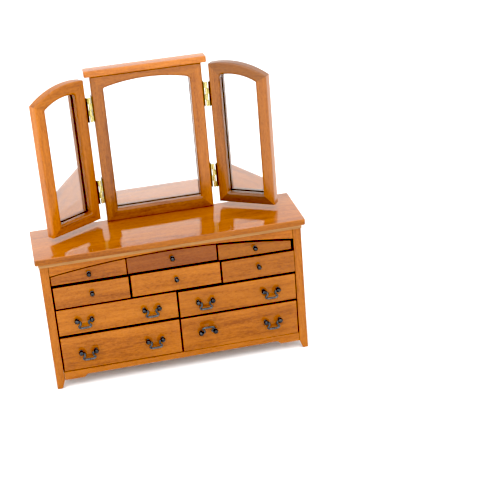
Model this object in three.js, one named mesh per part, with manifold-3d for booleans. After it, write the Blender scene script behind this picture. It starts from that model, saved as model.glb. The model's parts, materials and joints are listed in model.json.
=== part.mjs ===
// Miniature dressing table, one twelfth of full size: a chest of ten drawers with a fixed centre
// mirror and two hinged wing mirrors standing on its top.
// Millimetres, +Z up, front facing -Y, +X to the viewer's right. The origin is on the ground,
// under the middle of the whole piece.
import * as THREE from 'three';
import { mergeVertices } from 'three/addons/utils/BufferGeometryUtils.js';
import Module from 'manifold-3d';

const wasm = await Module();
wasm.setup();

// ---------- driving dimensions ----------
const GLUE = 0.05; // gap left between pieces that are glued face to face

// The chest. Depths (y) are counted from the middle of the table top.
const TOP = { width: 125, depth: 35, thick: 3, surface: 68, nose: 0.6 };
const CASE = { halfWidth: 60.7, front: -15, back: 17.2, post: 3.95, foot: 3.6 };
const OPENING = { bottom: 8.4, spring: 57.9, crown: 62.05 }; // arched at the top
const RAIL_DEPTH = 2.4; // front to back, of the arched rail and the apron
const APRON = { bracketEdge: 4.1, edge: 5.55, bracketEnd: 47.6, stepEnd: 45.6 };
const BOARD = 1.1; // bottom board and back panel
const SIDE = { recess: 1.1, stile: 4.2, rail: 4.0, archRise: 1.6, footTaper: 1.5 };

// Dust boards and upright dividers behind the drawer fronts
const DIVIDER = { thick: 0.9, front: -12.1, boardTops: [26.6, 40.9, 52.8], uprights: 21.3 };

// Drawers. A drawer's seat is how far the hand-fitted drawer sits off its true place.
const FRONT = { thick: 2.5, gap: 0.42 };
const BOX = { side: 1.0, bottom: 0.8, clearance: 0.85, lift: 0.45, length: 27 };
const ROWS = [
  { name: 'bottom', floor: OPENING.bottom, low: 8.6, high: 25.85, boxHeight: 14.5, bails: true },
  { name: 'lower', floor: DIVIDER.boardTops[0], low: 27.0, high: 40.15, boxHeight: 11.0, bails: true },
  { name: 'upper', floor: DIVIDER.boardTops[1], low: 41.25, high: 52.0, boxHeight: 8.6, bails: false },
  { name: 'top', floor: DIVIDER.boardTops[2], low: 53.1, high: null, boxHeight: 4.1, bails: false },
];
const SEATS = {
  bottom_left: [0.1, 0, 0.12],
  bottom_right: [0, 0, -0.1],
  lower_left: [0.1, 0, 0.25],
  lower_right: [0.1, 0, -0.25],
  upper_left: [0.2, -0.25, 0],
  upper_centre: [0.35, -0.25, 0.2],
  upper_right: [0.3, -0.25, -0.1],
  top_left: [-0.1, 0, 0.15],
  top_centre: [-0.55, 0.1, 0.15],
  top_right: [-0.75, 0.25, -0.35],
};

// Knobs on the two upper rows, swan-neck bails hung between ball posts on the two lower rows
const KNOB = { ball: 1.1, reach: 1.9, stem: 0.5, rise: 0.55 };
const POST = { ball: 1.2, reach: 1.9, stem: 0.45, spacing: 6.9, rise: 0.5 };
const BAIL = { wire: 0.38, drop: 4.05, halfWidth: 2.85, neck: 1.15, offset: 15.7, turnedUp: 158 };
const TURNED_UP_BAIL = 'bottom_right_bail_1';

// Mirrors. A sight is measured where the flat face of the frame ends; the edge that is rounded
// over there narrows it, down to the lip that holds the glass.
const MIRROR = { halfWidth: 25.65, height: 71, front: 14.2, thick: 4.7 };
const CENTRE_SIGHT = { halfWidth: 21.05, bottom: 4.75, spring: 65.9, crown: 68.7 };
const EDGE = { round: 1.2, lip: 2.9 };
const REBATE = { lap: 1.6, clearance: 0.15, glass: 1.3, backing: 0.4 };
const CAP = { halfWidth: 28.15, front: 13.55, back: 20.3, thick: 2.95, round: 0.7 };
const HINGE = { axisX: 26.95, axisY: 13.8, radius: 0.6, pin: 0.25, bore: 0.32, length: 11.6,
  leaf: 0.35, leafDepth: 3.4, offset: 1.4, knuckles: 4, centres: [83.8, 124.0] };
const WING = { width: 28, lift: 2.4, fold: 33, arcCentre: 8, arcCrown: 68.7, arcRadius: 36.5 };
const WING_SIGHT = { inner: 3.95, outer: 23.8, bottom: 3.8, crown: 64.4, centre: 10.5, radius: 25 };

// The origin sits midway between the front of the knobs and the back of the cap.
const MIDDLE_Y = 0.813;

// ---------- materials ----------
const plain = (color, roughness, metalness) =>
  new THREE.MeshStandardMaterial({ color, roughness, metalness, flatShading: true });
const wood = plain(0xc27a38, 0.35, 0);
const darkWood = plain(0x9c5a28, 0.4, 0);
const rawWood = plain(0xd9b183, 0.7, 0);
const glass = plain(0xe8edf0, 0.05, 1);
const brass = plain(0xd8b45a, 0.25, 1);
const pewter = plain(0x4a4844, 0.35, 1);

const group = new THREE.Group();
group.position.y = -MIDDLE_Y;

function add(name, geometry, material, parent = group) {
  const mesh = new THREE.Mesh(geometry, material);
  mesh.name = name;
  parent.add(mesh);
  return mesh;
}

// ---------- cutting and joining ----------
function toSolid(geometry) {
  const bare = geometry.clone();
  bare.deleteAttribute('normal');
  bare.deleteAttribute('uv');
  const merged = mergeVertices(bare, 1e-4);
  const vertProperties = new Float32Array(merged.attributes.position.array);
  const triVerts = new Uint32Array(merged.index.array);
  return new wasm.Manifold(new wasm.Mesh({ numProp: 3, vertProperties, triVerts }));
}

function toGeometry(solid) {
  const mesh = solid.getMesh();
  const geometry = new THREE.BufferGeometry();
  geometry.setAttribute('position', new THREE.BufferAttribute(mesh.vertProperties, 3));
  geometry.setIndex(new THREE.BufferAttribute(mesh.triVerts, 1));
  geometry.computeVertexNormals();
  return geometry;
}

function cut(body, ...tools) {
  return toGeometry(tools.reduce((left, tool) => left.subtract(toSolid(tool)), toSolid(body)));
}

function join(...pieces) {
  const [first, ...rest] = pieces.map(toSolid);
  return toGeometry(rest.reduce((whole, piece) => whole.add(piece), first));
}

// ---------- shape helpers ----------
function block(x0, x1, y0, y1, z0, z1) {
  const box = new THREE.BoxGeometry(x1 - x0, y1 - y0, z1 - z0);
  return box.translate((x0 + x1) / 2, (y0 + y1) / 2, (z0 + z1) / 2);
}

// A shape drawn in X and Z, filled from the plane y0 back to the plane y1
function slab(shape, y0, y1, curveSegments = 8) {
  const options = { depth: y1 - y0, bevelEnabled: false, curveSegments };
  return new THREE.ExtrudeGeometry(shape, options).rotateX(Math.PI / 2).translate(0, y1, 0);
}

function outline(points) {
  return new THREE.Shape(points.map(([a, b]) => new THREE.Vector2(a, b)));
}

// Height of a shallow arch at x, given its half span, its height at the ends and at the crown
function archHeight(x, half, spring, crown) {
  const rise = crown - spring;
  const radius = (half * half + rise * rise) / (2 * rise);
  return crown - radius + Math.sqrt(radius * radius - x * x);
}

// Points along z = height(x) from xa to xb
function along(height, xa, xb, steps) {
  return Array.from({ length: steps + 1 }, (_, i) => {
    const x = xa + ((xb - xa) * i) / steps;
    return [x, height(x)];
  });
}

function lathe(profile, segments) {
  return new THREE.LatheGeometry(profile.map(([r, h]) => new THREE.Vector2(r, h)), segments);
}

// A turned piece whose height runs out of the drawer face, towards -Y
function turned(profile, x, y, z, segments = 12) {
  return lathe(profile, segments).rotateX(Math.PI).translate(x, y, z);
}

// ---------- the chest ----------
const openingHalf = CASE.halfWidth - CASE.post;
const underTop = TOP.surface - TOP.thick;
const openingArch = (x) => archHeight(x, openingHalf, OPENING.spring, OPENING.crown);

function tableTop() {
  const half = TOP.width / 2 - TOP.nose;
  const deep = TOP.depth / 2 - TOP.nose;
  const plan = outline([[-half, -deep], [half, -deep], [half, deep], [-half, deep]]);
  const options = {
    depth: TOP.thick - 2 * TOP.nose, bevelThickness: TOP.nose, bevelSize: TOP.nose, bevelSegments: 3,
  };
  const slabTop = new THREE.ExtrudeGeometry(plan, options);
  return slabTop.translate(0, 0, underTop + TOP.nose);
}

// One side: two posts that run down into tapered feet, joined by rails round a sunk panel
function side(sign) {
  const { front, back, foot } = CASE;
  const low = OPENING.bottom - 2;
  const toe = foot - SIDE.footTaper;
  const width = back - front;
  const arch = (y) => low + archHeight(y - (front + back) / 2, width / 2 - foot, 0, SIDE.archRise);
  const profile = outline([
    [front, 0], [front + toe, 0], [front + foot, APRON.bracketEdge],
    ...along(arch, front + foot, back - foot, 8),
    [back - foot, APRON.bracketEdge], [back - toe, 0], [back, 0],
    [back, underTop - GLUE], [front, underTop - GLUE],
  ]);
  // The profile is drawn in Y and Z and given its thickness along X.
  const options = { depth: CASE.post, bevelEnabled: false };
  const board = new THREE.ExtrudeGeometry(profile, options);
  board.applyMatrix4(new THREE.Matrix4().makeBasis(
    new THREE.Vector3(0, 1, 0), new THREE.Vector3(0, 0, 1), new THREE.Vector3(1, 0, 0)));
  board.translate(sign > 0 ? openingHalf : -CASE.halfWidth, 0, 0);

  const outer = CASE.halfWidth - SIDE.recess;
  const sunk = block(outer, outer + 5, front + SIDE.stile, back - SIDE.stile,
    low + SIDE.archRise + SIDE.rail, underTop - SIDE.rail);
  const wedge = outline([
    [openingHalf - 1, -1], [openingHalf + SIDE.footTaper * 1.25, -1],
    [openingHalf + SIDE.footTaper, 0], [openingHalf, APRON.bracketEdge],
    [openingHalf - 1, APRON.bracketEdge],
  ]);
  const taper = slab(wedge, front - 1, back + 1);
  if (sign > 0) return cut(board, sunk, taper);
  const flip = new THREE.Matrix4().makeRotationZ(Math.PI);
  const middle = front + back;
  return cut(board, sunk.applyMatrix4(flip).translate(0, middle, 0),
    taper.applyMatrix4(flip).translate(0, middle, 0));
}

function topRail() {
  const half = openingHalf - GLUE;
  const shape = outline([
    [-half, underTop - GLUE], ...along(openingArch, -half, half, 16), [half, underTop - GLUE],
  ]);
  return slab(shape, CASE.front, CASE.front + RAIL_DEPTH);
}

// The rail under the drawers: deeper at each end, where a small step forms a bracket
function apronRail() {
  const half = openingHalf - GLUE;
  const { bracketEdge, edge, bracketEnd, stepEnd } = APRON;
  const mid = (bracketEdge + edge) / 2;
  const shape = outline([
    [-half, OPENING.bottom], [-half, bracketEdge], [-bracketEnd, bracketEdge],
    [-bracketEnd + 0.5, mid], [-stepEnd, edge],
    [stepEnd, edge], [bracketEnd - 0.5, mid], [bracketEnd, bracketEdge],
    [half, bracketEdge], [half, OPENING.bottom],
  ]);
  return slab(shape, CASE.front, CASE.front + RAIL_DEPTH);
}

// Dust boards between the rows and the uprights between neighbouring drawers, halved together
function drawerDividers() {
  const half = openingHalf - GLUE;
  const back = CASE.back - BOARD - GLUE;
  const { thick, front, boardTops, uprights } = DIVIDER;
  const boards = boardTops.map((top) => block(-half, half, front, back, top - thick, top));
  const upright = (x, z0, z1) => block(x - thick / 2, x + thick / 2, front, back, z0, z1);
  return join(...boards,
    upright(0, OPENING.bottom + GLUE, boardTops[1] - thick / 2),
    upright(-uprights, boardTops[1] - thick / 2, underTop - GLUE),
    upright(uprights, boardTops[1] - thick / 2, underTop - GLUE));
}

add('table_top', tableTop(), wood);
add('left_side', side(-1), wood);
add('right_side', side(1), wood);
add('top_rail', topRail(), wood);
add('apron_rail', apronRail(), wood);
add('drawer_dividers', drawerDividers(), darkWood);
add('bottom_board', block(-openingHalf + GLUE, openingHalf - GLUE, CASE.front + RAIL_DEPTH + GLUE,
  CASE.back - BOARD - GLUE, OPENING.bottom - BOARD, OPENING.bottom), darkWood);
add('back_panel', block(-openingHalf + GLUE, openingHalf - GLUE, CASE.back - BOARD, CASE.back,
  OPENING.bottom - BOARD, underTop - GLUE), darkWood);

// ---------- drawers ----------
function ballProfile(ball, reach, stem) {
  const steps = 5;
  const neck = Math.asin(stem / ball);
  const arc = Array.from({ length: steps }, (_, i) => {
    const angle = neck + ((Math.PI - neck) * i) / steps;
    return [ball * Math.sin(angle), reach - ball * Math.cos(angle)];
  });
  return [[0, GLUE], [stem + 0.4, GLUE], [stem + 0.4, 0.3], [stem, 0.4], ...arc, [0, reach + ball]];
}

function knob(x, face, z) {
  return turned(ballProfile(KNOB.ball, KNOB.reach, KNOB.stem), x, face, z);
}

// A post sinks slightly into the wood, so that front and posts are one piece.
function post(x, face, z) {
  return turned(ballProfile(POST.ball, POST.reach, POST.stem), x, face + 2 * GLUE, z, 10);
}

// The swan-neck bail hangs from the origin in the plane of the drawer face.
function bail() {
  const start = POST.spacing / 2 - POST.ball - 0.1;
  const { neck, halfWidth, drop, wire } = BAIL;
  const right = [
    [start, 0], [neck + 0.45, -0.05], [neck, -0.75], [neck + 0.75, -1.75], [halfWidth, -3.0],
    [halfWidth - 0.35, -drop + 0.15], [halfWidth / 2, -drop],
  ];
  const left = right.map(([x, z]) => [-x, z]).reverse();
  const points = [...right, [0, -drop], ...left].map(([x, z]) => new THREE.Vector3(x, 0, z));
  const path = new THREE.CatmullRomCurve3(points, false, 'centripetal');
  const section = new THREE.Shape().absarc(0, 0, wire, 0, 2 * Math.PI);
  const options = { steps: 30, curveSegments: 3, bevelEnabled: false, extrudePath: path };
  return new THREE.ExtrudeGeometry(section, options);
}

function drawer(row, column, x0, x1) {
  const id = `${row.name}_${column}`;
  const [dx, dy, dz] = SEATS[id];
  const face = CASE.front + dy;
  const reachLeft = x0 + FRONT.gap;
  const reachRight = x1 - FRONT.gap;
  const arch = (x) => openingArch(x) - FRONT.gap;
  const upper = row.high === null
    ? along(arch, reachRight, reachLeft, 6)
    : [[reachRight, row.high], [reachLeft, row.high]];
  const shape = outline([[reachLeft, row.low], [reachRight, row.low], ...upper]);
  const front = slab(shape, CASE.front, CASE.front + FRONT.thick).translate(dx, dy, dz);
  const centreX = (reachLeft + reachRight) / 2 + dx;
  const centreZ = (row.low + (row.high ?? arch(centreX))) / 2;

  if (row.bails) {
    const z = centreZ + POST.rise + dz;
    const handles = [-BAIL.offset, BAIL.offset].map((shift) => centreX + shift);
    const posts = handles.flatMap((x) => [-1, 1].map((s) => post(x + (s * POST.spacing) / 2, face, z)));
    add(`${id}_front`, join(front, ...posts), wood);
    handles.forEach((x, i) => {
      const name = `${id}_bail_${i + 1}`;
      const hung = add(name, bail(), pewter);
      hung.position.set(x, face - POST.reach + 2 * GLUE, z);
      hung.rotation.x = name === TURNED_UP_BAIL ? THREE.MathUtils.degToRad(-BAIL.turnedUp) : 0;
    });
  } else {
    add(`${id}_front`, front, wood);
    add(`${id}_knob`, knob(centreX, face, centreZ + KNOB.rise + dz), pewter);
  }

  // The box: bottom, two sides and a back, glued behind the front
  const left = x0 + BOX.clearance;
  const right = x1 - BOX.clearance;
  const boxFront = face + FRONT.thick + GLUE;
  const boxBack = boxFront + BOX.length;
  const floor = row.floor + BOX.lift + dz;
  const outer = block(left, right, boxFront, boxBack, floor, floor + row.boxHeight);
  const inner = block(left + BOX.side, right - BOX.side, boxFront - 1, boxBack - BOX.side,
    floor + BOX.bottom, floor + row.boxHeight + 1);
  add(`${id}_box`, cut(outer, inner), rawWood);
}

for (const row of ROWS) {
  if (row.bails) {
    drawer(row, 'left', -openingHalf, 0);
    drawer(row, 'right', 0, openingHalf);
  } else {
    drawer(row, 'left', -openingHalf, -DIVIDER.uprights);
    drawer(row, 'centre', -DIVIDER.uprights, DIVIDER.uprights);
    drawer(row, 'right', DIVIDER.uprights, openingHalf);
  }
}

// ---------- mirrors ----------
// A frame is drawn by its outline and its sight. sight(grow) is the sight's shape, moved outward
// by grow. The rebate behind the lip holds the glass and, flush with the back, a thin backing.
const lipEdge = -EDGE.round;

function mirrorFrame(shape, sight, front) {
  const back = front + MIRROR.thick;
  const edgeOptions = {
    depth: 1, bevelThickness: EDGE.round, bevelSize: EDGE.round, bevelSegments: 1,
  };
  const edge = new THREE.ExtrudeGeometry(sight(lipEdge), edgeOptions).rotateX(Math.PI / 2);
  return cut(slab(shape, front, back), slab(sight(lipEdge), front - 1, back + 1),
    edge.translate(0, front, 0), slab(sight(lipEdge + REBATE.lap), front + EDGE.lip, back + 1));
}

function mirrorGlass(sight, front) {
  const y = front + EDGE.lip + GLUE;
  return slab(sight(lipEdge + REBATE.lap - REBATE.clearance), y, y + REBATE.glass);
}

function mirrorBacking(sight, front) {
  const y = front + EDGE.lip + REBATE.glass + 2 * GLUE;
  return slab(sight(lipEdge + REBATE.lap - REBATE.clearance), y, y + REBATE.backing);
}

const mirrorFoot = TOP.surface + GLUE;
const mirrorHead = TOP.surface + MIRROR.height;

function centreSight(grow) {
  const half = CENTRE_SIGHT.halfWidth + grow;
  const spring = TOP.surface + CENTRE_SIGHT.spring + grow;
  const crown = TOP.surface + CENTRE_SIGHT.crown + grow;
  const low = TOP.surface + CENTRE_SIGHT.bottom - grow;
  const arch = (x) => archHeight(x, half, spring, crown);
  return outline([[-half, low], [half, low], ...along(arch, half, -half, 10)]);
}

const centreOutline = outline([
  [-MIRROR.halfWidth, mirrorFoot], [MIRROR.halfWidth, mirrorFoot],
  [MIRROR.halfWidth, mirrorHead], [-MIRROR.halfWidth, mirrorHead],
]);
add('mirror_frame', mirrorFrame(centreOutline, centreSight, MIRROR.front), wood);
add('mirror_glass', mirrorGlass(centreSight, MIRROR.front), glass);
add('mirror_backing', mirrorBacking(centreSight, MIRROR.front), darkWood);

function mirrorCap() {
  const { halfWidth, front, back, thick, round } = CAP;
  const half = halfWidth - round;
  const plan = outline([
    [-half, front + round], [half, front + round], [half, back - round], [-half, back - round],
  ]);
  const options = {
    depth: thick - 2 * round, bevelThickness: round, bevelSize: round, bevelSegments: 3,
  };
  return new THREE.ExtrudeGeometry(plan, options).translate(0, 0, mirrorHead + GLUE + round);
}
add('mirror_cap', mirrorCap(), wood);

// Height of an arc over u, measured from a wing's hinged edge
const arcHeight = (u, centre, crown, radius) =>
  crown - radius + Math.sqrt(radius * radius - (u - centre) * (u - centre));

// A wing is drawn flat and unfolded, from its hinge axis, and its group folds it forward.
function wing(name, sign) {
  const foot = TOP.surface + WING.lift;
  const place = (points) => outline(points.map(([u, z]) => [sign * (HINGE.offset + u), foot + z]));
  const head = (u) => arcHeight(u, WING.arcCentre, WING.arcCrown, WING.arcRadius);
  const shape = place([[0, 0], [WING.width, 0], ...along(head, WING.width, 0, 10)]);
  const sight = (grow) => {
    const { inner, outer, bottom, crown, centre, radius } = WING_SIGHT;
    const arc = (u) => arcHeight(u, centre, crown + grow, radius + grow);
    return place([[inner - grow, bottom - grow], [outer + grow, bottom - grow],
      ...along(arc, outer + grow, inner - grow, 10)]);
  };
  const hinged = new THREE.Group();
  hinged.position.set(sign * HINGE.axisX, HINGE.axisY, 0);
  hinged.rotation.z = THREE.MathUtils.degToRad(-sign * WING.fold);
  group.add(hinged);
  const front = MIRROR.front - HINGE.axisY;
  add(`${name}_frame`, mirrorFrame(shape, sight, front), wood, hinged);
  add(`${name}_glass`, mirrorGlass(sight, front), glass, hinged);
  add(`${name}_backing`, mirrorBacking(sight, front), darkWood, hinged);
  HINGE.centres.forEach((z, i) => {
    const level = i === 0 ? 'lower' : 'upper';
    add(`${name}_${level}_hinge_leaf`, wingLeaf(sign, z), brass, hinged);
    const fixed = add(`${name}_${level}_hinge_base`, frameLeaf(sign, z), brass);
    fixed.position.set(sign * HINGE.axisX, HINGE.axisY, 0);
  });
}

// ---------- hinges ----------
// Drawn about the hinge axis. The knuckles are counted from the top. On the left wing the odd ones
// belong to the leaf on the wing, on the right wing the even ones, because every hinge is the same
// and faces the same way. The pin is in the leaf on the centre frame.
const pitch = HINGE.length / HINGE.knuckles;

function barrel(radius, z0, z1, segments = 12) {
  const height = z1 - z0;
  const rod = new THREE.CylinderGeometry(radius, radius, height, segments);
  return rod.rotateX(Math.PI / 2).translate(0, 0, (z0 + z1) / 2);
}

// A leaf's plate stands at the distance `gap` from the axis, on the side `sign`.
function leafPieces(sign, z, gap, odd) {
  const top = z + HINGE.length / 2;
  const depth = MIRROR.front - HINGE.axisY + 0.1;
  const spanX = (near, far) => [sign * near, sign * far].sort((a, b) => a - b);
  const plate = spanX(gap - GLUE - HINGE.leaf, gap - GLUE);
  const web = spanX(HINGE.bore + 0.1, gap - GLUE - HINGE.leaf / 2);
  const pieces = [block(...plate, depth, depth + HINGE.leafDepth, z - HINGE.length / 2, top)];
  for (let k = odd ? 0 : 1; k < HINGE.knuckles; k += 2) {
    const z1 = top - k * pitch - GLUE;
    const z0 = top - (k + 1) * pitch + GLUE;
    pieces.push(barrel(HINGE.radius, z0, z1));
    pieces.push(block(...web, 0, HINGE.leaf, z0, z1));
    pieces.push(block(...plate, 0, depth + GLUE, z0, z1));
  }
  return pieces;
}

function wingLeaf(sign, z) {
  const half = HINGE.length / 2;
  const body = join(...leafPieces(sign, z, HINGE.offset, sign < 0));
  return cut(body, barrel(HINGE.bore, z - half - 1, z + half + 1));
}

function frameLeaf(sign, z) {
  const half = HINGE.length / 2;
  const gap = HINGE.axisX - MIRROR.halfWidth;
  const pin = barrel(HINGE.pin, z - half, z + half, 8);
  return join(...leafPieces(-sign, z, gap, sign > 0), pin);
}

wing('left_wing', -1);
wing('right_wing', 1);

export default group;
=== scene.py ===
"""Looks of a miniature dressing table: a chest of ten drawers with a centre mirror and two hinged
wing mirrors. Shapes are drawn in millimetres in the CAD model's frame, and piece() turns them into
metres."""

import json
import math

import bmesh
import bpy
from mathutils import Matrix, Vector

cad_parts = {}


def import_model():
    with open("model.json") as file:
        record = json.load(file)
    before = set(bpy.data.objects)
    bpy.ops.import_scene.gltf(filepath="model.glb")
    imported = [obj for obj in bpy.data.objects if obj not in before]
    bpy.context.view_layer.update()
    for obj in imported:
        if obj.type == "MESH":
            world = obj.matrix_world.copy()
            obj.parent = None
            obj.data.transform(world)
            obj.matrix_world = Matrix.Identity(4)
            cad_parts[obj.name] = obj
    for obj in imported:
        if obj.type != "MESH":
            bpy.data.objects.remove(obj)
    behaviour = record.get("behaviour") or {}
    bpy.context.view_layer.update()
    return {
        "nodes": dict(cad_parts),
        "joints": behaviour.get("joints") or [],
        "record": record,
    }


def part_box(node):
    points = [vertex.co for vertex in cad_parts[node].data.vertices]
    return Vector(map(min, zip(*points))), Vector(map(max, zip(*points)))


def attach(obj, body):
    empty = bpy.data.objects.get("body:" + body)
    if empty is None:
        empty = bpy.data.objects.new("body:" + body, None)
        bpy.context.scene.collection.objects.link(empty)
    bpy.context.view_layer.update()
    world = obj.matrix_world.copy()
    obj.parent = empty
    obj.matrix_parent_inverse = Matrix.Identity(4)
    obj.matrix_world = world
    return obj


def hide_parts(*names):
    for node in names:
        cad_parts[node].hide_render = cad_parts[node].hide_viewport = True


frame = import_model()

MM = 0.001
BODY = {node: body for body, nodes in frame["record"]["behaviour"]["bodies"].items()
        for node in nodes}
RANGES = {joint["name"]: joint.get("range_deg") for joint in frame["joints"]}


def box(node):
    """x0, x1, y0, y1, z0, z1 of a CAD node, in millimetres."""
    low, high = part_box(node)
    return [edge / MM for axis in range(3) for edge in (low[axis], high[axis])]


# ---------------------------------------------------------------- driving dimensions
GAP = 0.03            # between neighbouring pieces of one CAD node
EASE = 0.22           # how far the arrises of the joinery are rounded

LEFT_SIDE = box("left_side")
CASE_X0, CASE_X1 = LEFT_SIDE[0], box("right_side")[1]
CASE_Y0, CASE_Y1 = LEFT_SIDE[2:4]
POST = LEFT_SIDE[1] - LEFT_SIDE[0]    # thickness of a side
TOP = box("table_top")
UNDER_TOP = TOP[4]
SURFACE = TOP[5]
NOSE_LOW, NOSE_HIGH = 0.55, 0.4       # rounding of the table top's arrises
TOP_CORNER = 0.9      # rounding of its corners in plan
STRIP = (0.02, 2.15, 0.35)            # moulding under the top: gap above it, height, thickness

STILE = 4.2           # width of a post seen from the side
TOE = (2.1, 1.5)      # how wide a foot is at the floor: kept in depth, lost in width
SHIN = 4.1            # height where the feet start to taper
ARCH_SPRING, ARCH_RISE, SIDE_RAIL = 6.4, 1.6, 4.0
RECESS = 1.1          # the side panel is sunk by this

OPEN_HALF = CASE_X1 - POST
OPEN_BOTTOM, OPEN_SPRING, OPEN_CROWN = 8.4, 57.9, 62.05
RAIL_DEPTH = 2.4
BRACKET_EDGE, APRON_EDGE, BRACKET_END, STEP_END = 4.1, 5.55, 47.6, 45.6

FRONT_THICK, FRONT_GAP, FRONT_EASE = 2.5, 0.42, 0.3
UPRIGHT = 21.3        # the uprights of the three-drawer rows
TOP_ROW_LOW = 53.1    # lower edge of the top row's fronts before seating
KNOB_BALL, KNOB_REACH, KNOB_STEM = 1.1, 1.9, 0.5
POST_BALL, POST_REACH, POST_STEM, POST_SPACING, POST_RISE = 1.2, 1.9, 0.45, 6.9, 0.5
BAIL_OFFSET, BAIL_WIRE, BAIL_DROP, BAIL_HALF, BAIL_NECK = 15.7, 0.5, 3.64, 2.75, 1.9
BAIL_LOWEST = -20     # degrees from hanging straight down to lying back on the drawer front

CENTRE = box("mirror_frame")
MIRROR_FRONT, MIRROR_BACK = CENTRE[2], CENTRE[3]
MIRROR_THICK = MIRROR_BACK - MIRROR_FRONT
ROUND, LIP, LAP, GLASS, ARRIS = 1.2, 2.9, 1.6, 1.3, 0.75
HINGE_Y = MIRROR_FRONT - 0.4
HINGE_X = 26.95
HINGE_OFFSET, HINGE_LENGTH, HINGE_RADIUS, LEAF, LEAF_DEPTH = 1.4, 11.6, 0.6, 0.35, 3.4
CENTRE_SIGHT = (21.05, SURFACE + 4.75, SURFACE + 65.9, SURFACE + 68.7)  # half, low, spring, crown
CAP_CORNER, CAP_LOW, CAP_HIGH = 1.0, 0.45, 0.6    # rounding of the cap, as of the table top
WING_WIDTH, WING_LIFT = 28.0, 2.4
WING_HEAD = (8, 68.7, 36.5)           # arc of a wing's top edge: centre, crown, radius
WING_SIGHT_HEAD = (10.5, 64.4, 25)    # arc of its sight: the same
WING_SIGHT = (3.95, 23.8, 3.8)        # inner and outer edge and foot of its sight
SIGHT_ROUND, SIGHT_WIDE = 1.4, 3.4    # usual and wide rounding of a sight's corners
FOLD = -RANGES["left_wing_fold"][0]      # the wings stand folded forward by this, in degrees


# ---------------------------------------------------------------- materials
class Graph:
    """A material's node tree, built by short calls."""

    def __init__(self, name):
        self.material = bpy.data.materials.new(name)
        self.material.use_nodes = True
        self.nodes = self.material.node_tree.nodes
        self.links = self.material.node_tree.links
        self.nodes.clear()
        self.output = self.nodes.new("ShaderNodeOutputMaterial")

    def node(self, kind, inputs=None, **settings):
        made = self.nodes.new("ShaderNode" + kind)
        for key, value in settings.items():
            setattr(made, key, value)
        for key, value in (inputs or {}).items():
            self.put(made.inputs[key], value)
        return made

    def put(self, socket, value):
        if isinstance(value, bpy.types.NodeSocket):
            self.links.new(value, socket)
        else:
            socket.default_value = value

    def math(self, operation, a, b=0.0, clamp=False):
        made = self.node("Math", {0: a, 1: b}, operation=operation, use_clamp=clamp)
        return made.outputs[0]

    def mix(self, factor, a, b, blend="MIX"):
        made = self.node("Mix", {0: factor, 6: a, 7: b}, data_type="RGBA", blend_type=blend)
        return made.outputs[2]

    def ramp(self, value, stops):
        made = self.node("ValToRGB", {0: value})
        elements = made.color_ramp.elements
        while len(elements) < len(stops):
            elements.new(0.5)
        for element, (position, colour) in zip(elements, stops):
            element.position = position
            element.color = colour
        return made.outputs[0]

    def noise(self, vector, scale, detail=2.0, roughness=0.5, distortion=0.0):
        made = self.node("TexNoise", {"Vector": vector, "Scale": scale, "Detail": detail,
                                      "Roughness": roughness, "Distortion": distortion})
        return made.outputs["Fac"]

    def finish(self, shader):
        self.links.new(shader, self.output.inputs["Surface"])
        return self.material


def rgb(r, g, b):
    return (r, g, b, 1.0)


def grey(v):
    return (v, v, v, 1.0)


TURN = {"x": (0, 0, 0), "y": (0, 0, math.pi / 2), "z": (0, math.pi / 2, 0)}
WOODS = {}
# varnish: roughness where it is smooth and where it is dull, weight, index
FINISHES = {"satin": (0.14, 0.24, 0.8, 1.42), "rubbed": (0.16, 0.26, 1.0, 1.5),
            "gloss": (0.05, 0.11, 1.0, 1.55)}


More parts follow.
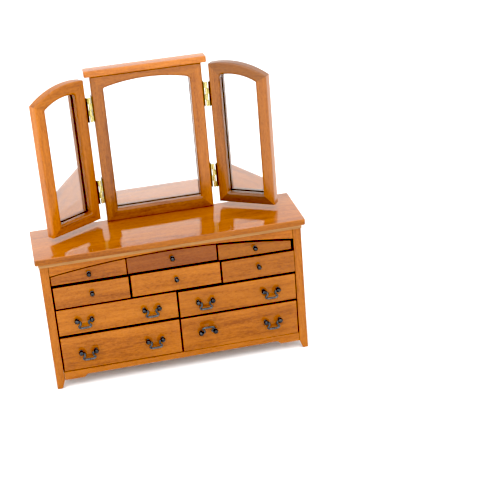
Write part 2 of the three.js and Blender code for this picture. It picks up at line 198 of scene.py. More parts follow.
def wood(grain="x", seed=0, tone=1.0, red=0.0, finish="satin"):
    """Varnished hardwood. grain is the axis that the fibres run along, in the piece's own frame."""
    key = (grain, seed, tone, red, finish)
    if key in WOODS:
        return WOODS[key]
    g = Graph(f"wood_{grain}_{len(WOODS)}")
    place = g.node("TexCoord").outputs["Object"]
    turned = g.node("Mapping", {"Vector": place, "Rotation": TURN[grain]}).outputs[0]
    # one unit is a millimetre across the fibres, and 14 millimetres along them
    along = g.node("Mapping", {"Vector": turned, "Scale": (1 / MM / 14, 1 / MM, 1 / MM),
                               "Location": (seed * 3.7, seed * 11.3, seed * 5.9)}).outputs[0]
    short = g.node("Mapping", {"Vector": turned, "Scale": (1 / MM / 3.2, 1 / MM, 1 / MM),
                               "Location": (seed * 1.9, seed * 7.1, seed * 2.3)}).outputs[0]
    figure = g.noise(along, 0.13, 3.0, 0.55, 0.6)
    streaks = g.noise(along, 0.75, 4.0, 0.66, 0.3)
    flecks = g.noise(short, 1.7, 3.0, 0.62)
    fibres = g.noise(short, 3.6, 2.0, 0.6)
    base = g.math("ADD", g.math("MULTIPLY", figure, 0.5), g.math("MULTIPLY", streaks, 0.5))
    base = g.math("ADD", base, g.math("MULTIPLY", g.math("SUBTRACT", flecks, 0.5), 0.42))
    light = (0.365 * tone, (0.121 - 0.018 * red) * tone, (0.0130 + 0.012 * red) * tone, 1)
    middle = (0.295 * tone, (0.090 - 0.015 * red) * tone, (0.0085 + 0.012 * red) * tone, 1)
    dark = (0.180 * tone, (0.047 - 0.008 * red) * tone, (0.0050 + 0.010 * red) * tone, 1)
    colour = g.ramp(base, [(0.33, dark), (0.50, middle), (0.67, light)])
    pore = g.ramp(fibres, [(0.32, grey(0.55)), (0.45, grey(1.0))])
    colour = g.mix(0.6, colour, pore, "MULTIPLY")
    height = g.math("ADD", g.math("MULTIPLY", fibres, 0.5), g.math("MULTIPLY", flecks, 0.5))
    bump = g.node("Bump", {"Height": height, "Strength": 0.05 if finish == "gloss" else 0.12,
                           "Distance": 0.05 * MM}).outputs[0]
    handling = g.noise(place, 160.0, 3.0, 0.6)
    smooth, dull, weight, ior = FINISHES[finish]
    coat_rough = g.node("MapRange", {0: handling, 1: 0.3, 2: 0.7, 3: smooth, 4: dull}).outputs[0]
    rough = g.node("MapRange", {0: streaks, 1: 0.3, 2: 0.7, 3: 0.45, 4: 0.58}).outputs[0]
    shader = g.node("BsdfPrincipled", {
        "Base Color": colour, "Roughness": rough, "Normal": bump, "Specular IOR Level": 0.1,
        "Coat Weight": weight, "Coat Roughness": coat_rough, "Coat IOR": ior,
        "Coat Normal": bump})
    WOODS[key] = g.finish(shader.outputs[0])
    return WOODS[key]


def plain_wood(name, grain, colours, rough):
    """Unvarnished wood, mostly inside the chest: three colours, dark to light. Some of its uses are
    painted shade or a painted highlight, noted where they are made.
    """
    g = Graph(name)
    place = g.node("TexCoord").outputs["Object"]
    turned = g.node("Mapping", {"Vector": place, "Rotation": TURN[grain]}).outputs[0]
    along = g.node("Mapping", {"Vector": turned,
                               "Scale": (1 / MM / 16, 1 / MM, 1 / MM)}).outputs[0]
    streaks = g.noise(along, 0.9, 4.0, 0.6, 0.3)
    fibres = g.noise(along, 4.0, 2.0, 0.6)
    colour = g.ramp(streaks, [(0.28, colours[0]), (0.5, colours[1]), (0.72, colours[2])])
    colour = g.mix(0.5, colour, g.ramp(fibres, [(0.32, grey(0.7)), (0.45, grey(1.0))]), "MULTIPLY")
    bump = g.node("Bump", {"Height": fibres, "Strength": 0.25, "Distance": 0.06 * MM}).outputs[0]
    roughness = g.node("MapRange", {0: streaks, 1: 0.3, 2: 0.7, 3: rough - 0.08,
                                    4: rough + 0.08}).outputs[0]
    shader = g.node("BsdfPrincipled", {"Base Color": colour, "Roughness": roughness,
                                       "Normal": bump})
    return g.finish(shader.outputs[0])


def metal(name, colours, rough, bump_height):
    """Cast metal: two colours that drift over the surface, and a slightly uneven polish."""
    g = Graph(name)
    place = g.node("TexCoord").outputs["Object"]
    patches = g.noise(place, 900.0, 3.0, 0.6)
    grain = g.noise(place, 5200.0, 2.0, 0.6)
    colour = g.ramp(patches, [(0.35, colours[0]), (0.65, colours[1])])
    roughness = g.node("MapRange", {0: grain, 1: 0.3, 2: 0.7, 3: rough * 0.75,
                                    4: rough * 1.3}).outputs[0]
    bump = g.node("Bump", {"Height": patches, "Strength": 0.3,
                           "Distance": bump_height * MM}).outputs[0]
    shader = g.node("BsdfPrincipled", {"Base Color": colour, "Metallic": 1.0,
                                       "Roughness": roughness, "Normal": bump})
    return g.finish(shader.outputs[0])


def clear_glass():
    g = Graph("glass_clear")
    place = g.node("TexCoord").outputs["Object"]
    smear = g.noise(place, 60.0, 3.0, 0.6)
    tint = g.ramp(smear, [(0.3, rgb(0.965, 0.98, 0.975)), (0.7, rgb(0.985, 0.99, 0.985))])
    rough = g.node("MapRange", {0: smear, 1: 0.4, 2: 0.7, 3: 0.0, 4: 0.012}).outputs[0]
    shader = g.node("BsdfPrincipled", {"Base Color": tint, "Roughness": rough, "IOR": 1.5,
                                       "Transmission Weight": 1.0})
    return g.finish(shader.outputs[0])


def silvering():
    g = Graph("glass_silvering")
    place = g.node("TexCoord").outputs["Object"]
    cloud = g.noise(place, 45.0, 3.0, 0.6)
    tint = g.ramp(cloud, [(0.3, rgb(0.90, 0.91, 0.92)), (0.7, rgb(0.94, 0.945, 0.95))])
    rough = g.node("MapRange", {0: cloud, 1: 0.4, 2: 0.7, 3: 0.0, 4: 0.015}).outputs[0]
    shader = g.node("BsdfPrincipled", {"Base Color": tint, "Metallic": 1.0, "Roughness": rough})
    return g.finish(shader.outputs[0])


# the bails are a lighter copy of the posts' dark pewter: painted highlight on the bows
BAIL_PAINTED_HIGHLIGHT = metal("bail_pewter_painted_highlight", [rgb(0.045, 0.048, 0.052), rgb(0.13, 0.138, 0.148)], 0.34, 0.02)
PEWTER = metal("dark_pewter", [rgb(0.028, 0.030, 0.034), rgb(0.085, 0.090, 0.100)], 0.30, 0.02)
BRASS = metal("brass", [rgb(0.52, 0.44, 0.175), rgb(0.68, 0.60, 0.28)], 0.2, 0.012)
# dark, rough brass for the hinge plates: its darkness is painted shade
BRASS_DULL_PAINTED_SHADE = metal("brass_dull_painted_shade", [rgb(0.10, 0.075, 0.025), rgb(0.20, 0.155, 0.055)], 0.5, 0.02)
CLEAR = clear_glass()
SILVER = silvering()
# near-black wood, painted shade: it stands for the shade in the gaps, recesses and undersides
# inside the chest
PAINTED_SHADE_X = plain_wood("painted_shade_wood_x", "x",
                     [rgb(0.022, 0.009, 0.004), rgb(0.032, 0.013, 0.005),
                      rgb(0.045, 0.019, 0.007)], 0.6)
# pale wood for the strip under the top: a painted highlight
PAINTED_HIGHLIGHT_X = plain_wood("painted_highlight_wood_x", "x",
                    [rgb(0.25, 0.105, 0.024), rgb(0.33, 0.155, 0.042),
                     rgb(0.40, 0.205, 0.065)], 0.35)
INNER_Z = plain_wood("inner_wood_z", "z",
                     [rgb(0.16, 0.07, 0.025), rgb(0.25, 0.115, 0.042), rgb(0.33, 0.16, 0.06)], 0.6)
RAW = plain_wood("raw_wood_y", "y",
                 [rgb(0.52, 0.33, 0.16), rgb(0.63, 0.43, 0.23), rgb(0.72, 0.52, 0.30)], 0.7)


# ---------------------------------------------------------------- mesh helpers
def piece(name, vertices, faces, material, sharp=35, ease=0.0, place=None, segments=3):
    """A piece from vertices in millimetres. ease rounds its arrises by that many millimetres."""
    mesh = bpy.data.meshes.new(name)
    mesh.from_pydata([Vector(v) * MM for v in vertices], [], faces)
    bm = bmesh.new()
    bm.from_mesh(mesh)
    bmesh.ops.remove_doubles(bm, verts=bm.verts, dist=1e-4 * MM)
    bmesh.ops.recalc_face_normals(bm, faces=bm.faces)
    for edge in bm.edges:
        edge.smooth = not edge.is_manifold or edge.calc_face_angle(0.0) < math.radians(sharp)
    for face in bm.faces:
        face.smooth = True
    bm.to_mesh(mesh)
    bm.free()
    for each in material if isinstance(material, list) else [material]:
        mesh.materials.append(each)
    made = bpy.data.objects.new(name, mesh)
    bpy.context.scene.collection.objects.link(made)
    if place is not None:
        made.matrix_world = place
    if ease:
        add_bevel(made, ease, segments)
    return made


def add_bevel(made, ease, segments=3):
    bevel = made.modifiers.new("ease", "BEVEL")
    bevel.width = ease * MM
    bevel.segments = segments
    bevel.limit_method = "ANGLE"
    bevel.angle_limit = math.radians(32)
    bevel.harden_normals = True
    bevel.use_clamp_overlap = True


def stands_for(made, slot, *nodes):
    """The piece rides on its CAD nodes' body and takes their place."""
    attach(made, BODY[nodes[0]])
    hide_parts(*nodes)
    return made


def loft(rings, closed=False):
    """Vertices and faces between rings of as many points each: capped, or closed on themselves."""
    count = len(rings[0])
    vertices = [point for ring in rings for point in ring]
    faces = []
    spans = len(rings) if closed else len(rings) - 1
    for i in range(spans):
        a, b = i * count, (i + 1) % len(rings) * count
        for j in range(count):
            k = (j + 1) % count
            faces.append((a + j, a + k, b + k, b + j))
    if not closed:
        faces.append(tuple(reversed(range(count))))
        faces.append(tuple(range(len(vertices) - count, len(vertices))))
    return vertices, faces


def prism(outline, y0, y1):
    """An outline in X and Z, from the plane y0 back to the plane y1."""
    return loft([[(x, y, z) for x, z in outline] for y in (y0, y1)])


def arch(x, half, spring, crown):
    rise = crown - spring
    radius = (half * half + rise * rise) / (2 * rise)
    return crown - radius + math.sqrt(radius * radius - x * x)


def steps(a, b, count):
    return [a + (b - a) * i / count for i in range(count + 1)]


def lathe(profile, x, y, z, turns=32):
    """Profile of (radius, height), turned about an axis that runs out towards -Y from (x, y, z)."""
    rings = []
    for radius, height in profile:
        radius = max(radius, 0.004)
        rings.append([(x + radius * math.cos(a), y - height, z + radius * math.sin(a))
                      for a in steps(0, 2 * math.pi, turns)[:-1]])
    return loft(rings)


def merge(*parts):
    """Several vertices-and-faces pairs as one."""
    vertices, faces = [], []
    for some_vertices, some_faces in parts:
        start = len(vertices)
        vertices += some_vertices
        faces += [tuple(index + start for index in face) for face in some_faces]
    return vertices, faces


def block(x0, x1, y0, y1, z0, z1):
    corners = [(x0, y0), (x1, y0), (x1, y1), (x0, y1)]
    return loft([[(x, y, z) for x, y in corners] for z in (z0, z1)])


def rounded_rectangle(x0, x1, y0, y1, radius, turns=6):
    corners = [(x1 - radius, y0 + radius, -90), (x1 - radius, y1 - radius, 0),
               (x0 + radius, y1 - radius, 90), (x0 + radius, y0 + radius, 180)]
    return [(cx + radius * math.cos(math.radians(a)), cy + radius * math.sin(math.radians(a)))
            for cx, cy, start in corners for a in steps(start, start + 90, turns)]


def nosed_slab(bounds, corner, low, high, turns=6):
    """A board whose edge is rounded below and above, and whose corners are rounded in plan."""
    x0, x1, y0, y1, z0, z1 = bounds
    quarter = [math.radians(a) for a in steps(0, 90, turns)]
    profile = [(low - low * math.sin(a), z0 + low - low * math.cos(a)) for a in quarter]
    profile += [(high - high * math.cos(a), z1 - high + high * math.sin(a)) for a in quarter]
    rings = []
    for inset, z in profile:
        ring = rounded_rectangle(x0 + inset, x1 - inset, y0 + inset, y1 - inset, corner - inset)
        rings.append([(x, y, z) for x, y in ring])
    return loft(rings)


def offset_path(points, distance, closed):
    """A polyline moved sideways, to its left, with mitred corners."""
    moved = []
    count = len(points)
    for i, (x, y) in enumerate(points):
        normals = []
        for a, b in ((i - 1, i), (i, i + 1)):
            if closed or 0 <= a and b < count:
                (ax, ay), (bx, by) = points[a % count], points[b % count]
                length = math.hypot(bx - ax, by - ay)
                normals.append((-(by - ay) / length, (bx - ax) / length))
        nx = sum(n[0] for n in normals) / len(normals)
        ny = sum(n[1] for n in normals) / len(normals)
        square = nx * nx + ny * ny
        moved.append((x + distance * nx / square, y + distance * ny / square))
    return moved


# ---------------------------------------------------------------- the chest
def table_top():
    """The board is glossy on top and less polished on its edge. Its top faces take a lighter copy
    of the wood and its edge a darker one: painted light on top and painted shade on the edge.
    """
    made = piece("table_top_board", *nosed_slab(TOP, TOP_CORNER, NOSE_LOW, NOSE_HIGH),
                 [wood("x", 1, tone=1.13, finish="gloss"), wood("x", 2, tone=0.88)],
                 sharp=50)
    # faces that do not look up take the darker copy: painted shade on the edge
    for polygon in made.data.polygons:
        if polygon.normal.z < 0.5:
            polygon.material_index = 1
    return stands_for(made, "polished_wood", "table_top")


def strip_moulding():
    """A strip glued under the table top, along the front and both sides. Its pale colour is a
    painted highlight: the light caught just under the top's edge.
    """
    gap, height, thick = STRIP
    path = [(CASE_X0, CASE_Y1), (CASE_X0, CASE_Y0), (CASE_X1, CASE_Y0), (CASE_X1, CASE_Y1)]
    z0, z1 = UNDER_TOP - gap - height, UNDER_TOP - gap
    section = [(0.02, z0), (thick - 0.18, z0), (thick - 0.05, z0 + 0.06), (thick, z0 + 0.2),
               (thick, z1), (0.02, z1)]
    columns = [offset_path(path, -d, False) for d, _ in section]
    rings = [[(*columns[k][i], section[k][1]) for k in range(len(section))]
             for i in range(len(path))]
    made = piece("strip_moulding", *loft(rings), PAINTED_HIGHLIGHT_X, sharp=40)
    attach(made, "case")


def side(node, sign):
    """Two posts that taper to feet, two rails and a sunk panel."""
    outer, inner = sign * CASE_X1, sign * OPEN_HALF
    top = UNDER_TOP - GAP - 0.02

    def post(name, edge, turn, seed):
        rings = []
        for z, narrow, deep in ((0, TOE[1], TOE[0]), (SHIN, 0, 3.75), (ARCH_SPRING, 0, STILE),
                                (top, 0, STILE)):
            xs, ys = (inner + sign * narrow, outer), (edge, edge + turn * deep)
            rings.append([(xs[0], ys[0], z), (xs[1], ys[0], z), (xs[1], ys[1], z),
                          (xs[0], ys[1], z)])
        made = piece(f"{node}_{name}", *loft(rings), [wood("z", seed, tone=1.02), PAINTED_SHADE_X],
                     ease=EASE)
        for polygon in made.data.polygons:      # painted shade: dark where shade falls inside the chest
            if polygon.normal.x * sign < -0.99 and polygon.center.z > SHIN * MM:
                polygon.material_index = 1
        stands_for(made, "polished_wood", node)

    post("front_post", CASE_Y0, 1, 3 if sign < 0 else 4)
    post("back_post", CASE_Y1, -1, 5 if sign < 0 else 6)
    y0, y1 = CASE_Y0 + STILE + GAP, CASE_Y1 - STILE - GAP
    middle, half = (y0 + y1) / 2, (y1 - y0) / 2
    proud = sign * (CASE_X1 - 0.08)
    rail_top = ARCH_SPRING + ARCH_RISE + SIDE_RAIL
    lower = [(middle + t, ARCH_SPRING + arch(t, half, 0, ARCH_RISE))
             for t in steps(-half, half, 16)]
    outline = lower + [(y1, rail_top), (y0, rail_top)]
    rings = [[(x, y, z) for y, z in outline] for x in (inner, proud)]
    made = piece(f"{node}_lower_rail", *loft(rings), wood("y", 7), ease=EASE)
    stands_for(made, "polished_wood", node)
    xs = sorted((inner, proud))
    made = piece(f"{node}_upper_rail", *block(*xs, y0, y1, UNDER_TOP - SIDE_RAIL, top),
                 wood("y", 8), ease=EASE)
    stands_for(made, "polished_wood", node)
    xs = sorted((inner, outer - sign * RECESS))
    made = piece(f"{node}_panel",
                 *block(*xs, y0, y1, rail_top + GAP, UNDER_TOP - SIDE_RAIL - GAP),
                 wood("z", 9 if sign < 0 else 10, tone=0.97), ease=0.1)
    stands_for(made, "polished_wood", node)


def opening_arch(x):
    return arch(x, OPEN_HALF, OPEN_SPRING, OPEN_CROWN)


def top_rail():
    half = OPEN_HALF - GAP - 0.02
    top = UNDER_TOP - GAP - 0.02
    outline = [(x, opening_arch(x)) for x in steps(-half, half, 40)] + [(half, top), (-half, top)]
    made = piece("arched_rail", *prism(outline, CASE_Y0 + 0.04, CASE_Y0 + RAIL_DEPTH),
                 [wood("x", 11, tone=1.16), PAINTED_SHADE_X], ease=0.25)
    # the arch's underside, the top and the ends take the near-black wood: painted shade
    for polygon in made.data.polygons:
        if abs(polygon.normal.y) < 0.1:
            polygon.material_index = 1
    stands_for(made, "polished_wood", "top_rail")


def apron_rail():
    half = OPEN_HALF - GAP - 0.02
    rise = APRON_EDGE - BRACKET_EDGE
    step = []
    for t in steps(0, 1, 8):
        smooth = t * t * (3 - 2 * t)
        step.append((BRACKET_END - t * (BRACKET_END - STEP_END), BRACKET_EDGE + smooth * rise))
    right = [(half, BRACKET_EDGE)] + step
    left = [(-x, z) for x, z in reversed(right)]
    outline = right + left + [(-half, OPEN_BOTTOM), (half, OPEN_BOTTOM)]
    made = piece("apron", *prism(outline, CASE_Y0 + 0.04, CASE_Y0 + RAIL_DEPTH),
                 wood("x", 12, tone=1.0), ease=EASE)
    stands_for(made, "polished_wood", "apron_rail")


def dress(node, material, ease):
    """A CAD node that stays: its edges eased and its material set."""
    made = frame["nodes"][node]
    weld = made.modifiers.new("weld", "WELD")
    weld.merge_threshold = 0.002 * MM
    add_bevel(made, ease, 2)
    made.data.materials.clear()
    made.data.materials.append(material)
    for polygon in made.data.polygons:
        polygon.use_smooth = False


# ---------------------------------------------------------------- drawers
# tone and redness of each drawer front: the lower tones of the right-hand fronts are painted shade,
# darker towards the right end; the others differ from front to front
ROW_TONES_AND_SHADE = {
    "bottom_left": (1.0, 0.0), "bottom_right": (0.98, 0.0),
    "lower_left": (0.98, 0.0), "lower_right": (0.94, 0.0),
    "upper_left": (0.89, 0.1), "upper_centre": (0.97, 0.0), "upper_right": (0.83, 0.1),
    "top_left": (0.87, 0.2), "top_centre": (0.58, 0.7), "top_right": (0.74, 0.1),
}


def ball_profile(ball, reach, stem):
    """A turned rose, a stem and a ball, from the wood outward."""
    neck = math.asin(stem / ball)
    profile = [(0, 0.03), (stem + 0.42, 0.03), (stem + 0.42, 0.16), (stem + 0.3, 0.28),
               (stem + 0.06, 0.36), (stem, 0.5)]
    profile += [(ball * math.sin(a), reach - ball * math.cos(a)) for a in steps(neck, math.pi, 14)]
    return profile


def swan_neck(wire):
    """A bail about its own axis: from post to post through a necked, flat-bottomed loop."""
    half = [(POST_SPACING / 2 - POST_BALL * 0.75, 0.0), (BAIL_NECK + 0.3, -0.35),
            (BAIL_NECK, -0.95), (BAIL_NECK + 0.1, -1.7), (BAIL_HALF - 0.15, -2.5),
            (BAIL_HALF, -3.1), (BAIL_HALF - 0.65, -BAIL_DROP + 0.12), (BAIL_HALF / 2, -BAIL_DROP)]
    points = half + [(0.0, -BAIL_DROP)] + [(-x, z) for x, z in reversed(half)]
    path = catmull_rom(points, 6)
    rings = []
    for i, (x, z) in enumerate(path):
        (ax, az), (bx, bz) = path[max(i - 1, 0)], path[min(i + 1, len(path) - 1)]
        length = math.hypot(bx - ax, bz - az)
        nx, nz = -(bz - az) / length, (bx - ax) / length
        radius = wire * (1.0 + 0.2 * math.exp(-((z + 0.8) / 0.6) ** 2))
        rings.append([(x + nx * radius * math.cos(a), radius * math.sin(a),
                       z + nz * radius * math.cos(a)) for a in steps(0, 2 * math.pi, 14)[:-1]])
    return loft(rings)


def catmull_rom(points, cuts):
    """A smooth path through the points."""
    padded = [points[0], *points, points[-1]]
    path = []
    for i in range(1, len(padded) - 2):
        p0, p1, p2, p3 = (Vector(p) for p in padded[i - 1:i + 3])
        for t in steps(0, 1, cuts)[:-1]:
            path.append(tuple(0.5 * ((2 * p1) + (p2 - p0) * t
                                     + (2 * p0 - 5 * p1 + 4 * p2 - p3) * t**2
                                     + (3 * p1 - p0 - 3 * p2 + p3) * t**3)))
    return path + [points[-1]]


def drawer(node, seed):
    x0, x1, _, y1, z0, z1 = box(f"{node}_front")
    face = y1 - FRONT_THICK
    tone, red = ROW_TONES_AND_SHADE[node]
    if node.startswith("top"):
        nominal = {"top_left": -OPEN_HALF, "top_centre": -UPRIGHT, "top_right": UPRIGHT}[node]
        dx, dz = x0 - nominal - FRONT_GAP, z0 - TOP_ROW_LOW
        upper = [(x, opening_arch(x - dx) - FRONT_GAP - 0.12 + dz) for x in steps(x1, x0, 24)]
    else:
        upper = [(x1, z1), (x0, z1)]
    outline = [(x0, z0), (x1, z0)] + upper
    inset = [(FRONT_EASE * (1 - math.cos(a)), FRONT_EASE * (1 - math.sin(a)))
             for a in steps(0, math.pi / 2, 4)]
    rings = [[(x, y1, z) for x, z in outline]]
    rings += [[(x, face + depth, z) for x, z in offset_path(outline, d, True)]
              for d, depth in inset]
    made = piece(f"{node}_drawer_front", *loft(rings),
                 [wood("x", seed, tone=tone, red=red), PAINTED_SHADE_X], sharp=50)
    # the edges and back of a front take the near-black wood: painted shade in the gaps between the
    # drawers
    for polygon in made.data.polygons:
        if abs(polygon.normal.y) < 0.1 or polygon.normal.y > 0.9:
            polygon.material_index = 1
    stands_for(made, "polished_wood", f"{node}_front")
    dress(f"{node}_box", RAW, 0.08)
    if f"{node}_knob" in BODY:
        kx0, kx1, _, _, kz0, kz1 = box(f"{node}_knob")
        made = piece(f"{node}_pull",
                     *lathe(ball_profile(KNOB_BALL, KNOB_REACH, KNOB_STEM),
                            (kx0 + kx1) / 2, face, (kz0 + kz1) / 2), PEWTER)
        stands_for(made, "dark_bronze", f"{node}_knob")
        return
    height = (z0 + z1) / 2 + POST_RISE
    for i, shift in enumerate((-BAIL_OFFSET, BAIL_OFFSET), 1):
        x = (x0 + x1) / 2 + shift
        posts = merge(*(lathe(ball_profile(POST_BALL, POST_REACH, POST_STEM),
                              x + s * POST_SPACING / 2, face, height) for s in (-1, 1)))
        made = piece(f"{node}_posts_{i}", *posts, PEWTER)
        stands_for(made, "dark_bronze", f"{node}_front")
        bail = f"{node}_bail_{i}"
        turned_up = BAIL_LOWEST - RANGES[f"{bail}_swing"][0]
        place = (Matrix.Translation(Vector((x, face - POST_REACH + 0.1, height)) * MM)
                 @ Matrix.Rotation(math.radians(-turned_up), 4, "X"))
        made = piece(f"{bail}_wire", *swan_neck(BAIL_WIRE), BAIL_PAINTED_HIGHLIGHT, place=place)
        stands_for(made, "dark_bronze", bail)


# ---------------------------------------------------------------- mirrors
def frame_members(outer, sight):
    """Both outlines cut at their corners: four members, each a run of (outer, sight) points.
    Each outline is four runs of points that share their corner points, in the same turn."""
    members = []
    for outer_run, sight_run in zip(outer, sight):
        count = max(len(outer_run), len(sight_run))
        members.append((resample(outer_run, count), resample(sight_run, count)))
    return members


def resample(run, count):
    if len(run) == count:
        return run
    lengths = [0.0]
    for (ax, az), (bx, bz) in zip(run, run[1:]):
        lengths.append(lengths[-1] + math.hypot(bx - ax, bz - az))
    made = []
    for target in steps(0, lengths[-1], count - 1):
        i = max(k for k in range(len(run) - 1) if lengths[k] <= target + 1e-9)
        t = (target - lengths[i]) / (lengths[i + 1] - lengths[i])
        made.append(tuple(a + (b - a) * t for a, b in zip(run[i], run[i + 1])))
    return made


def frame_section():
    """The moulding's section: (outline, offset towards the frame's own wood, depth)."""
    section = [("outer", 0.0, MIRROR_THICK - 0.2), ("outer", 0.0, ARRIS)]
    section += [("outer", ARRIS * (1 - math.cos(a)), ARRIS * (1 - math.sin(a)))
                for a in steps(0, math.pi / 2, 5)[1:]]
    section += [("sight", -ROUND * math.sin(a), ROUND * (1 - math.cos(a)))
                for a in steps(0, math.pi / 2, 8)]
    section += [("sight", -ROUND, LIP), ("sight", LAP - ROUND, LIP),
                ("sight", LAP - ROUND, MIRROR_THICK), ("outer", 0.2, MIRROR_THICK)]
    return section


def mirror_frame(name, node, outer, sight, front, seeds, tones_lit_and_shaded, finish="rubbed", place=None):
    """Four mitred members round a sight. Runs go bottom, right, top, left, counter-clockwise."""
    members = frame_members(outer, sight)
    loops = {"outer": [], "sight": []}
    starts = []
    for outer_run, sight_run in members:
        starts.append(len(loops["outer"]))
        loops["outer"] += outer_run[:-1]
        loops["sight"] += sight_run[:-1]
    total = len(loops["outer"])
    section = frame_section()
    # the wood lies inside the outer outline and outside the sight
    columns = [offset_path(loops[which], d if which == "outer" else -d, True)
               for which, d, _ in section]
    ends = starts[1:] + [total]
    for label, start, end, seed, tone in zip(("bottom", "right", "top", "left"), starts, ends,
                                             seeds, tones_lit_and_shaded):
        rings = []
        for i in range(start, end + 1):
            corner = i % total
            rings.append([(column[corner][0], front + depth, column[corner][1])
                          for column, (_, _, depth) in zip(columns, section)])
        grain = "x" if label in ("bottom", "top") else "z"
        made = piece(f"{name}_{label}", *loft(rings), wood(grain, seed, tone=tone, finish=finish),
                     sharp=30, place=place)
        stands_for(made, "polished_wood", node)


def rounded_sight(corners, radii, top_run):
    """Runs of a sight: straight bottom and sides, an arched top, and corners rounded in halves.
    corners: bottom left, bottom right, top right, top left."""
    runs = []
    straight = [[corners[0], corners[1]], [corners[1], corners[2]], top_run,
                [corners[3], corners[0]]]
    arcs = []
    for i, corner in enumerate(corners):
        before, after = straight[i - 1], straight[i]
        arcs.append(fillet(before[-2], corner, after[1], radii[i]))
    for i in range(4):
        first, last = arcs[i], arcs[(i + 1) % 4]
        half_first = first[len(first) // 2:]
        half_last = last[:len(last) // 2 + 1]
        reach_first = math.dist(straight[i][0], half_first[-1])
        reach_last = math.dist(straight[i][-1], half_last[0])
        between = [p for p in straight[i][1:-1] if math.dist(p, straight[i][0]) > reach_first + 0.2
                   and math.dist(p, straight[i][-1]) > reach_last + 0.2]
        runs.append(half_first + between + half_last)
    return runs


def fillet(a, corner, b, radius, turns=6):
    """Points of an arc that rounds a corner, from the side of a to the side of b."""
    c, da, db = Vector(corner), (Vector(a) - Vector(corner)).normalized(), \
        (Vector(b) - Vector(corner)).normalized()
    angle = math.acos(max(-1, min(1, da.dot(db))))
    reach = radius / math.tan(angle / 2)
    centre = c + (da + db).normalized() * radius / math.sin(angle / 2)
    start, end = c + da * reach - centre, c + db * reach - centre
    swing = math.atan2(start.x * end.y - start.y * end.x, start.dot(end))
    made = []
    for t in steps(0, 1, turns):
        s, k = math.sin(swing * t), math.cos(swing * t)
        made.append((centre.x + start.x * k - start.y * s, centre.y + start.x * s + start.y * k))
    return made


def glass_plate(name, node, sight, front, place=None):
    """A glass plate, silvered on its back."""
    loop = [p for run in sight for p in run[:-1]]
    grown = offset_path(loop, -(LAP - ROUND - 0.15), True)
    y0, y1 = front + LIP + 0.05, front + LIP + 0.05 + GLASS
    vertices, faces = prism(grown, y0, y1)
    made = piece(name, vertices, faces, [CLEAR, SILVER], place=place)
    for polygon in made.data.polygons:
        polygon.use_smooth = False
        if all(made.data.vertices[v].co.y > (y1 - 0.01) * MM for v in polygon.vertices):
            polygon.material_index = 1
    return stands_for(made, "mirror_glass", node)


def centre_mirror():
    x0, x1, y0, _, z0, z1 = CENTRE
    outer = [[(x0, z0), (x1, z0)], [(x1, z0), (x1, z1)], [(x1, z1), (x0, z1)], [(x0, z1), (x0, z0)]]
    half, low, spring, crown = CENTRE_SIGHT
    corners = [(-half, low), (half, low), (half, spring), (-half, spring)]
    top_run = [(x, arch(x, half, spring, crown)) for x in steps(half, -half, 36)]
    sight = rounded_sight(corners, (SIGHT_ROUND, SIGHT_ROUND, SIGHT_WIDE, 2.0), top_run)
    # tones of the members, bottom, right, top, left: the darker bottom member is painted shade; the
    # others differ member to member
    mirror_frame("centre_frame", "mirror_frame", outer, sight, y0, (21, 22, 23, 24),
                 (0.76, 1.02, 0.90, 0.80))
    glass_plate("centre_plate", "mirror_glass", sight, y0)
    dress("mirror_backing", INNER_Z, 0.05)


def mirror_cap():
    # tone 1.34 makes the cap a lighter copy of the wood: painted light
    made = piece("cap_board", *nosed_slab(box("mirror_cap"), CAP_CORNER, CAP_LOW, CAP_HIGH),
                 wood("x", 25, tone=1.34, finish="rubbed"), sharp=50)
    stands_for(made, "polished_wood", "mirror_cap")


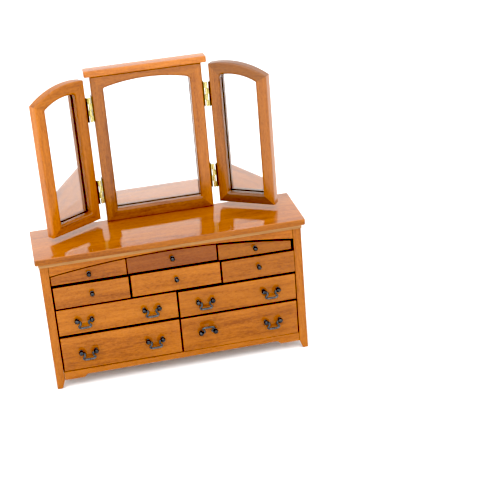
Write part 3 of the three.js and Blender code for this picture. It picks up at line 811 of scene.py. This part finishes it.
def wing(name, sign, seeds, tones_lit_and_shaded, finish):
    """Drawn flat and unfolded from the hinge axis, then turned to where it stands."""
    foot = SURFACE + WING_LIFT
    place = (Matrix.Translation(Vector((sign * HINGE_X, HINGE_Y, 0)) * MM)
             @ Matrix.Rotation(math.radians(-sign * FOLD), 4, "Z"))

    def at(u, z):
        return (sign * (HINGE_OFFSET + u), foot + z)

    def arc(u, centre, crown, radius):
        return crown - radius + math.sqrt(radius * radius - (u - centre) ** 2)

    def head(u):
        return arc(u, *WING_HEAD)

    def sight_head(u):
        return arc(u, *WING_SIGHT_HEAD)

    # runs are drawn with u growing to the right, and turned round for the left wing
    inner, far, low = WING_SIGHT
    outer = [[at(0, 0), at(WING_WIDTH, 0)],
             [at(WING_WIDTH, 0), at(WING_WIDTH, head(WING_WIDTH))],
             [at(u, head(u)) for u in steps(WING_WIDTH, 0, 32)],
             [at(0, head(0)), at(0, 0)]]
    top_run = [at(u, sight_head(u)) for u in steps(far, inner, 32)]
    corners = [at(inner, low), at(far, low), at(far, sight_head(far)), at(inner, sight_head(inner))]
    if sign < 0:
        outer = [[*reversed(run)] for run in (outer[0], outer[3], outer[2], outer[1])]
        corners = [corners[1], corners[0], corners[3], corners[2]]
        top_run = [*reversed(top_run)]
    top_radii = (SIGHT_ROUND, SIGHT_WIDE) if sign > 0 else (SIGHT_WIDE, SIGHT_ROUND)
    radii = (SIGHT_ROUND, SIGHT_ROUND, *top_radii)
    sight = rounded_sight(corners, radii, top_run)
    front = MIRROR_FRONT - HINGE_Y
    mirror_frame(f"{name}_member", f"{name}_frame", outer, sight, front, seeds, tones_lit_and_shaded, finish,
                 place)
    glass_plate(f"{name}_plate", f"{name}_glass", sight, front, place)
    dress(f"{name}_backing", INNER_Z, 0.05)
    for level in ("lower", "upper"):
        _, _, _, _, z0, z1 = box(f"{name}_{level}_hinge_base")
        z = (z0 + z1) / 2
        made = piece(f"{name}_{level}_leaf", *leaf(sign, z, HINGE_OFFSET, sign < 0, False),
                     [BRASS, BRASS_DULL_PAINTED_SHADE], place=place)
        painted_shade_plates(made)
        stands_for(made, "brass", f"{name}_{level}_hinge_leaf")
        fixed = Matrix.Translation(Vector((sign * HINGE_X, HINGE_Y, 0)) * MM)
        made = piece(f"{name}_{level}_base",
                     *leaf(-sign, z, HINGE_X - CENTRE[1], sign > 0, True),
                     [BRASS, BRASS_DULL_PAINTED_SHADE], place=fixed)
        painted_shade_plates(made)
        stands_for(made, "brass", f"{name}_{level}_hinge_base")


def leaf(sign, z, gap, odd, with_pin):
    """Half a hinge about its own axis: a plate let in beside the frame, and every other knuckle."""
    near, far = gap - 0.05 - LEAF, gap - 0.05
    depth = MIRROR_FRONT - HINGE_Y + 0.1
    xs = sorted((sign * near, sign * far))
    top = z + HINGE_LENGTH / 2
    parts = [block(*xs, 0.02, depth + LEAF_DEPTH, z - HINGE_LENGTH / 2, top)]
    pitch = HINGE_LENGTH / 4
    for k in range(0 if odd else 1, 4, 2):
        z1, z0 = top - k * pitch - 0.05, top - (k + 1) * pitch + 0.05
        parts.append(rod(HINGE_RADIUS, z0, z1))
        web = sorted((sign * (HINGE_RADIUS * 0.55), sign * (far - LEAF / 2)))
        parts.append(block(*web, 0.12, LEAF + 0.1, z0 + 0.03, z1 - 0.03))
    if with_pin:
        parts.append(rod(HINGE_RADIUS * 0.55, z - HINGE_LENGTH / 2 + 0.02, top - 0.02))
    return merge(*parts)


def painted_shade_plates(made):
    """Only the round knuckles are bright; the plates beside them take a dark, duller brass, painted
    shade in the gap between the frames.
    """
    for polygon in made.data.polygons:
        corners = [made.data.vertices[v].co / MM for v in polygon.vertices]
        if min(math.hypot(c.x, c.y) for c in corners) > HINGE_RADIUS + 0.02:
            polygon.material_index = 1


def rod(radius, z0, z1, chamfer=0.1, turns=28):
    """An upright round bar on the hinge's axis, with chamfered ends."""
    profile = [(radius - chamfer, z0), (radius, z0 + chamfer), (radius, z1 - chamfer),
               (radius - chamfer, z1)]
    return loft([[(r * math.cos(a), r * math.sin(a), z) for a in steps(0, 2 * math.pi, turns)[:-1]]
                 for r, z in profile])


# ---------------------------------------------------------------- build
table_top()
strip_moulding()
side("left_side", -1)
side("right_side", 1)
top_rail()
apron_rail()
# the dividers take the near-black wood: painted shade behind the gaps between the drawers
dress("drawer_dividers", PAINTED_SHADE_X, 0.08)
dress("bottom_board", INNER_Z, 0.1)
dress("back_panel", INNER_Z, 0.1)
for seed, drawer_name in enumerate(ROW_TONES_AND_SHADE, 31):
    drawer(drawer_name, seed)
centre_mirror()
mirror_cap()
# tones of the members: the left wing's light outer stile is painted light, and the right wing's low
# tones, lowest at its bottom, are painted shade
wing("left_wing", -1, (41, 42, 43, 44), (0.98, 1.04, 1.04, 1.24), "satin")
wing("right_wing", 1, (45, 46, 47, 48), (0.43, 0.92, 0.58, 0.80), "rubbed")


# ---------------------------------------------------------------- camera, floor and light
def camera():
    data = bpy.data.cameras.new("camera")
    data.sensor_width = 36.0
    data.lens = 95.71
    data.clip_start, data.clip_end = 0.01, 20.0
    azimuth, elevation, roll = (math.radians(a) for a in (-10.09, 24.08, -4.76))
    back = Vector((math.sin(azimuth) * math.cos(elevation),
                   -math.cos(azimuth) * math.cos(elevation), math.sin(elevation)))
    right = (-back).cross(Vector((0, 0, 1))).normalized()
    up = right.cross(-back)
    x_axis = right * math.cos(roll) + up * math.sin(roll)
    y_axis = up * math.cos(roll) - right * math.sin(roll)
    made = bpy.data.objects.new("camera", data)
    bpy.context.scene.collection.objects.link(made)
    turn = Matrix((x_axis, y_axis, back)).transposed().to_4x4()
    made.matrix_world = Matrix.Translation((-0.0624, -0.54431, 0.30143)) @ turn
    bpy.context.scene.camera = made


def floor():
    half = 3.0
    mesh = bpy.data.meshes.new("floor")
    mesh.from_pydata([(-half, -half, 0), (half, -half, 0), (half, half, 0), (-half, half, 0)], [],
                     [(0, 1, 2, 3)])
    g = Graph("floor_white")
    place = g.node("TexCoord").outputs["Object"]
    tint = g.ramp(g.noise(place, 4.0), [(0.3, rgb(0.90, 0.90, 0.90)), (0.7, rgb(0.92, 0.92, 0.92))])
    shader = g.node("BsdfPrincipled", {"Base Color": tint, "Roughness": 0.8})
    mesh.materials.append(g.finish(shader.outputs[0]))
    made = bpy.data.objects.new("floor", mesh)
    bpy.context.scene.collection.objects.link(made)


def light(name, position, size, power):
    data = bpy.data.lights.new(name, "AREA")
    data.shape = "DISK"
    data.size = size
    data.energy = power
    made = bpy.data.objects.new(name, data)
    made.location = position
    aim = Vector((0, 0, 0.06)) - Vector(position)
    made.rotation_mode = "QUATERNION"
    made.rotation_quaternion = aim.to_track_quat("-Z", "Y")
    bpy.context.scene.collection.objects.link(made)


def world():
    """White surroundings, brightest in front of the object, above the horizon."""
    made = bpy.data.worlds.new("studio")
    made.use_nodes = True
    tree = made.node_tree
    background = tree.nodes["Background"]
    background.inputs["Color"].default_value = (1, 1, 1, 1)
    place = tree.nodes.new("ShaderNodeTexCoord")
    parts = tree.nodes.new("ShaderNodeSeparateXYZ")
    spread = tree.nodes.new("ShaderNodeMapRange")
    for socket, value in zip(list(spread.inputs)[1:5], (-1.0, 1.0, 2.15, 1.5)):
        socket.default_value = value
    tree.links.new(place.outputs["Generated"], parts.inputs[0])
    tree.links.new(parts.outputs["Y"], spread.inputs[0])
    tree.links.new(spread.outputs[0], background.inputs["Strength"])
    bpy.context.scene.world = made


def grading():
    """Plain sRGB, with its blacks set a little deeper."""
    view = bpy.context.scene.view_settings
    view.view_transform = "Standard"
    view.use_curve_mapping = True
    view.curve_mapping.black_level = (0.045, 0.045, 0.045)
    view.curve_mapping.update()


camera()
floor()
light("key", (-0.5, -0.6, 1.1), 0.9, 6.0)
world()
grading()
